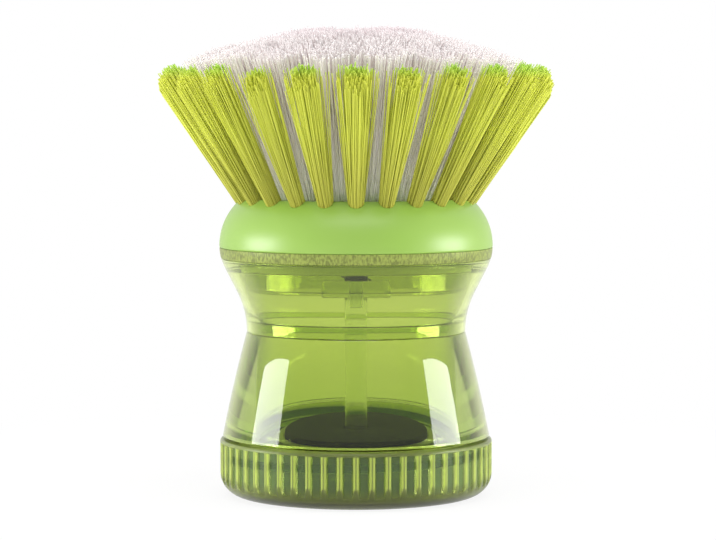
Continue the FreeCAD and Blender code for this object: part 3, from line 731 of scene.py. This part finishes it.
green_axes = ring_axes(24, green_circle, green_lean, -math.pi / 2)
white_rings = {"white_tufts_outer": white_axes(18, 1), "white_tufts_middle": white_axes(12, 2),
               "white_tufts_inner": white_axes(6, 3)}
drill = bmesh.new()
drilled_axes = [(axis, green_hole) for axis in green_axes]
drilled_axes += [(axis, white_hole) for ring_of in white_rings.values() for axis in ring_of]
for (mouth, way), hole in drilled_axes:
    bit = bmesh.ops.create_cone(drill, cap_ends=True, segments=24, radius1=hole, radius2=hole,
                                depth=2 * hole_depth)["verts"]
    turn_to = Vector((0, 0, 1)).rotation_difference(way).to_matrix()
    bmesh.ops.rotate(drill, verts=bit, cent=(0, 0, 0), matrix=turn_to)
    bmesh.ops.translate(drill, verts=bit, vec=mouth)
drill_mesh = bpy.data.meshes.new("drill")
drill.to_mesh(drill_mesh)
drill.free()
drill_bits = bpy.data.objects.new("drill", drill_mesh)
bpy.context.scene.collection.objects.link(drill_bits)
drilling = head_piece.modifiers.new("tuft_holes", "BOOLEAN")
drilling.operation = "DIFFERENCE"
drilling.solver = "EXACT"
drilling.object = drill_bits
bpy.context.view_layer.update()
drilled = bpy.data.meshes.new_from_object(head_piece.evaluated_get(bpy.context.evaluated_depsgraph_get()))
head_piece.modifiers.clear()
head_piece.data = drilled
drilled.shade_smooth()
drilled.set_sharp_from_angle(angle=math.radians(plain_crease))
bpy.data.objects.remove(drill_bits)


# Tuft anchors
# Flat wire blades, driven into the bottom of each hole across the folded filaments. They stay the
# CAD solids, hidden inside the head, with a drawn brass finish.
anchor_brass, nodes, links, shader, coords = new_finish("anchor_brass")
drawn = noise(nodes, links, coords, 1200, stretch=(1, 1, 5))
links.new(ramp(nodes, links, drawn.outputs["Fac"],
               [(0.3, (0.55, 0.40, 0.16)), (0.7, (0.72, 0.55, 0.26))]).outputs["Color"],
          shader.inputs["Base Color"])
shader.inputs["Metallic"].default_value = 1.0
shader.inputs["Roughness"].default_value = 0.35
for name in ("green_anchors", "white_anchors"):
    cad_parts[name].data.materials.clear()
    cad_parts[name].data.materials.append(anchor_brass)


# Green tufts
# Yellow-green nylon filaments, folded over an anchor and fanned out from their hole. Their tips were
# trimmed to one crown, flat on top with a round outer edge, and a few filaments stray.
crown_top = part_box("green_tuft_01")[1].z
crown_radius = cad_box[1][0]
crown_round = 4.0 * MM


def under_crown(point):
    """Whether a point lies inside the trimmed crown of the green tufts."""
    radius = point.xy.length
    past_edge = max(0, radius - (crown_radius - crown_round))
    if past_edge >= crown_round:
        return False
    return point.z < crown_top - crown_round + math.sqrt(crown_round ** 2 - past_edge ** 2)


def trimmed_length(start, way, inside):
    """How far a straight filament runs before it leaves the trimmed form."""
    longest = 50 * MM
    halvings = 16
    short, long = 0, longest
    for _ in range(halvings):
        middle = (short + long) / 2
        short, long = (middle, long) if inside(start + way * middle) else (short, middle)
    return short


def filaments(dice, axes, count, root, flare, thickness, inside, uneven, strays, wander):
    """A mesh of tubes, one per filament, with a random tone for each in the attribute "tone"."""
    curve = bpy.data.curves.new("filaments", "CURVE")
    curve.dimensions = "3D"
    curve.bevel_depth = thickness / 2
    curve.bevel_resolution = 0
    curve.use_fill_caps = True
    golden = math.pi * (3 - math.sqrt(5))
    stretch_shares = (0, 0.5, 1)
    buried = 3 * MM
    turn_jitter = 0.2
    stray_range = (1.6, 3.2)
    fan_range = (0.75, 1.2)
    fan_reach_mm = 30
    bow_mm = 0.12
    for mouth, way in axes:
        step = dice.gauss(0, uneven)
        across = way.cross(Vector((0, 0, 1))).normalized()
        aside = way.cross(across).normalized()
        for i in range(count):
            spread = math.sqrt((i + 0.5) / count) * root
            turn = golden * i + dice.uniform(-turn_jitter, turn_jitter)
            offset = (across * math.cos(turn) + aside * math.sin(turn)) * spread
            stray = dice.uniform(*stray_range) if i >= count - strays else 1
            fan = (across * math.cos(turn) * stray + aside * math.sin(turn)) * spread
            fan *= (flare - 1) * dice.uniform(*fan_range)
            fan += (across * dice.gauss(0, 1) + aside * dice.gauss(0, 1)) * wander
            start = mouth + offset
            heading = (way * fan_reach_mm * MM + fan).normalized()
            length = trimmed_length(start, heading, inside) + step + dice.gauss(0, uneven)
            bow = (across * dice.gauss(0, 1) + aside * dice.gauss(0, 1)) * bow_mm * MM
            spline = curve.splines.new("POLY")
            spline.points.add(len(stretch_shares))
            spline.points[0].co = (*(start - way * buried), 1)
            for knot, share in zip(spline.points[1:], stretch_shares):
                knot.co = (*(start + heading * length * share + bow * 4 * share * (1 - share)), 1)
    holder = bpy.data.objects.new("filaments", curve)
    mesh = bpy.data.meshes.new_from_object(holder)
    bpy.data.objects.remove(holder)
    total = count * len(axes)
    per_filament = len(mesh.vertices) // total
    tones = [dice.random() for i in range(total)]
    tone = mesh.attributes.new("tone", "FLOAT", "POINT")
    tone.data.foreach_set("value", [tones[i // per_filament] for i in range(total * per_filament)])
    mesh.shade_smooth()
    return mesh


def nylon(name, painted_root_colours, high_colours, tip_colour, tip_level, tip_fade, roughness):
    """Drawn nylon: each filament its own tone and its cut tip a shade apart; its root colours are painted
    shade where darker and painted light where lighter.
    """
    finish, nodes, links, shader, coords = new_finish(name)
    painted_root_zone = 14 * MM
    tone = nodes.new("ShaderNodeAttribute")
    tone.attribute_name = "tone"
    height = nodes.new("ShaderNodeSeparateXYZ")
    links.new(coords.outputs["Object"], height.inputs["Vector"])
    rise = nodes.new("ShaderNodeMapRange")
    rise.inputs["From Min"].default_value = head_top
    rise.inputs["From Max"].default_value = head_top + painted_root_zone
    links.new(height.outputs["Z"], rise.inputs["Value"])
    tip = nodes.new("ShaderNodeMapRange")
    tip.inputs["From Min"].default_value = tip_level - tip_fade
    tip.inputs["From Max"].default_value = tip_level
    links.new(height.outputs["Z"], tip.inputs["Value"])
    # The root colours are painted: they blend into the body colours over the painted root zone.
    low = ramp(nodes, links, tone.outputs["Fac"], [(0, painted_root_colours[0]), (1, painted_root_colours[1])])
    high = ramp(nodes, links, tone.outputs["Fac"], [(0, high_colours[0]), (1, high_colours[1])])
    body_mix = nodes.new("ShaderNodeMixRGB")
    links.new(rise.outputs["Result"], body_mix.inputs["Fac"])
    links.new(low.outputs["Color"], body_mix.inputs["Color1"])
    links.new(high.outputs["Color"], body_mix.inputs["Color2"])
    tip_mix = nodes.new("ShaderNodeMixRGB")
    links.new(tip.outputs["Result"], tip_mix.inputs["Fac"])
    links.new(body_mix.outputs["Color"], tip_mix.inputs["Color1"])
    tip_mix.inputs["Color2"].default_value = (*tip_colour, 1)
    links.new(tip_mix.outputs["Color"], shader.inputs["Base Color"])
    shader.inputs["Roughness"].default_value = roughness
    return finish


def tuft_piece(name, mesh, finish, node):
    """Sets a mesh of filaments on the reservoir in place of a CAD tuft."""
    mesh.name = name
    mesh.materials.append(finish)
    made = bpy.data.objects.new(name, mesh)
    bpy.context.scene.collection.objects.link(made)
    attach(made, "reservoir")
    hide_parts(node)


# Painted shade: the green roots are darker than the body, as if shaded between the filaments near the head.
green_nylon = nylon("green_nylon", painted_root_colours=[(0.50, 0.49, 0.065), (0.57, 0.57, 0.085)],
                    high_colours=[(0.64, 0.68, 0.07), (0.71, 0.76, 0.09)], tip_colour=(0.50, 0.76, 0.11),
                    tip_level=crown_top, tip_fade=2.5 * MM, roughness=0.45)
green_root = 1.6 * MM
for i, axis in enumerate(green_axes):
    dice = random.Random(100 + i)
    mesh = filaments(dice, [axis], count=240, root=green_root, flare=1.6, thickness=0.20 * MM,
                     inside=under_crown, uneven=0.4 * MM, strays=44, wander=0.18 * MM)
    number = f"{i + 1:02d}"
    tuft_piece(f"green_tuft_filaments_{number}", mesh, green_nylon, f"green_tuft_{number}")


# White tufts
# Three rings of milky white nylon filaments inside the green ring. They stand higher and were
# trimmed to a low dome, each tuft a clump of its own.
dome_top = 96.4 * MM
dome_round = 90.0 * MM


def under_dome(point):
    """Whether a point lies inside the trimmed dome of the white tufts."""
    return (point - Vector((0, 0, dome_top - dome_round))).length < dome_round


# Painted light: the white roots are lighter than the body, lifting the shade deep in the tufts.
white_nylon = nylon("white_nylon", painted_root_colours=[(0.97, 0.97, 0.87), (0.99, 0.99, 0.91)],
                    high_colours=[(0.95, 0.905, 0.90), (0.97, 0.93, 0.925)],
                    tip_colour=(0.925, 0.85, 0.865), tip_level=dome_top, tip_fade=3 * MM, roughness=0.5)
white_root = 1.98 * MM
for i, (node, axes) in enumerate(white_rings.items()):
    dice = random.Random(300 + i)
    mesh = filaments(dice, axes, count=380, root=white_root, flare=2.7, thickness=0.25 * MM,
                     inside=under_dome, uneven=0.25 * MM, strays=6, wander=0.35 * MM)
    tuft_piece(f"{node}_filaments", mesh, white_nylon, node)


# Floor and light
# A plain white floor, two low soft boxes beside the brush and a broad one above and in front of it.
# Floor and backdrop look white, and only reflections show the darker room behind the camera.
floor_drop = 0.1 * MM
floor_mesh = bmesh.new()
bmesh.ops.create_grid(floor_mesh, x_segments=1, y_segments=1, size=6)
bmesh.ops.translate(floor_mesh, verts=floor_mesh.verts, vec=(0, 0, -floor_drop))
floor_data = bpy.data.meshes.new("floor")
floor_mesh.to_mesh(floor_data)
floor_mesh.free()
floor = bpy.data.objects.new("floor", floor_data)
bpy.context.scene.collection.objects.link(floor)


def seen_plainly(nodes, links):
    """One for rays that look at a surface directly, in a reflection or through clear plastic."""
    path = nodes.new("ShaderNodeLightPath")
    either = nodes.new("ShaderNodeMath")
    either.operation = "MAXIMUM"
    links.new(path.outputs["Is Camera Ray"], either.inputs[0])
    links.new(path.outputs["Is Glossy Ray"], either.inputs[1])
    every = nodes.new("ShaderNodeMath")
    every.operation = "MAXIMUM"
    links.new(either.outputs["Value"], every.inputs[0])
    links.new(path.outputs["Is Transmission Ray"], every.inputs[1])
    return every.outputs["Value"]


floor_white = bpy.data.materials.new("floor_white")
floor_white.use_nodes = True
nodes = floor_white.node_tree.nodes
links = floor_white.node_tree.links
matte = nodes["Principled BSDF"]
matte.inputs["Base Color"].default_value = (0.9, 0.9, 0.9, 1)
matte.inputs["Roughness"].default_value = 0.9
matte.inputs["Specular IOR Level"].default_value = 0.1
glow = nodes.new("ShaderNodeEmission")
glow_share = nodes.new("ShaderNodeMath")
glow_share.operation = "MULTIPLY"
floor_coords = nodes.new("ShaderNodeTexCoord")
far_off = nodes.new("ShaderNodeVectorMath")
far_off.operation = "LENGTH"
links.new(floor_coords.outputs["Object"], far_off.inputs[0])
fade = nodes.new("ShaderNodeMapRange")
fade.inputs["From Min"].default_value = 0.03
fade.inputs["From Max"].default_value = 0.15
fade.inputs["To Min"].default_value = 0.88
links.new(far_off.outputs["Value"], fade.inputs["Value"])
links.new(fade.outputs["Result"], glow_share.inputs[1])
mixer = nodes.new("ShaderNodeMixShader")
links.new(seen_plainly(nodes, links), glow_share.inputs[0])
links.new(glow_share.outputs["Value"], mixer.inputs["Fac"])
links.new(matte.outputs["BSDF"], mixer.inputs[1])
links.new(glow.outputs["Emission"], mixer.inputs[2])
links.new(mixer.outputs["Shader"], nodes["Material Output"].inputs["Surface"])
floor_data.materials.append(floor_white)

world = bpy.data.worlds.new("studio")
bpy.context.scene.world = world
world.use_nodes = True
nodes = world.node_tree.nodes
links = world.node_tree.links
ambient = 0.92
room_behind_camera = 0.6
sky = nodes.new("ShaderNodeTexCoord")
facing = nodes.new("ShaderNodeSeparateXYZ")
links.new(sky.outputs["Generated"], facing.inputs["Vector"])
backdrop = nodes.new("ShaderNodeMapRange")
backdrop.inputs["From Min"].default_value = -0.5
backdrop.inputs["From Max"].default_value = 0.3
backdrop.inputs["To Min"].default_value = room_behind_camera
links.new(facing.outputs["Y"], backdrop.inputs["Value"])
path = nodes.new("ShaderNodeLightPath")
not_mirrored = nodes.new("ShaderNodeMath")
not_mirrored.operation = "SUBTRACT"
not_mirrored.inputs[0].default_value = 1
links.new(path.outputs["Is Glossy Ray"], not_mirrored.inputs[1])
white_to_camera = nodes.new("ShaderNodeMath")
white_to_camera.operation = "MAXIMUM"
links.new(not_mirrored.outputs["Value"], white_to_camera.inputs[0])
links.new(backdrop.outputs["Result"], white_to_camera.inputs[1])
level = nodes.new("ShaderNodeMapRange")
level.inputs["To Min"].default_value = ambient
links.new(white_to_camera.outputs["Value"], level.inputs["To Max"])
links.new(seen_plainly(nodes, links), level.inputs["Value"])
nodes["Background"].inputs["Color"].default_value = (1, 1, 1, 1)
links.new(level.outputs["Result"], nodes["Background"].inputs["Strength"])


def soft_box(name, place, size, power, tilt=0):
    """A rectangular lamp that faces the middle of the brush, tilted in its own plane, in degrees."""
    lamp = bpy.data.lights.new(name, "AREA")
    lamp.shape = "RECTANGLE"
    lamp.size, lamp.size_y = size
    lamp.energy = power
    box = bpy.data.objects.new(name, lamp)
    box.location = place
    brush_middle = Vector((0, 0, 0.05))
    facing = (brush_middle - Vector(place)).to_track_quat("-Z", "Y")
    box.rotation_euler = (facing.to_matrix() @ Matrix.Rotation(math.radians(tilt), 3, "Z")).to_euler()
    bpy.context.scene.collection.objects.link(box)


soft_box("left_soft_box", place=(-0.60, -0.06, 0.095), size=(0.33, 0.19), power=2.1, tilt=11)
soft_box("right_soft_box", place=(0.60, -0.06, 0.095), size=(0.33, 0.19), power=2.1, tilt=-11)
soft_box("top_soft_box", place=(0.0, -0.35, 0.80), size=(0.60, 0.50), power=3.0)
bpy.context.scene.view_settings.view_transform = "Standard"
bpy.context.scene.cycles.max_bounces = 32
bpy.context.scene.cycles.diffuse_bounces = 24
bpy.context.scene.cycles.transmission_bounces = 24
bpy.context.scene.cycles.glossy_bounces = 24
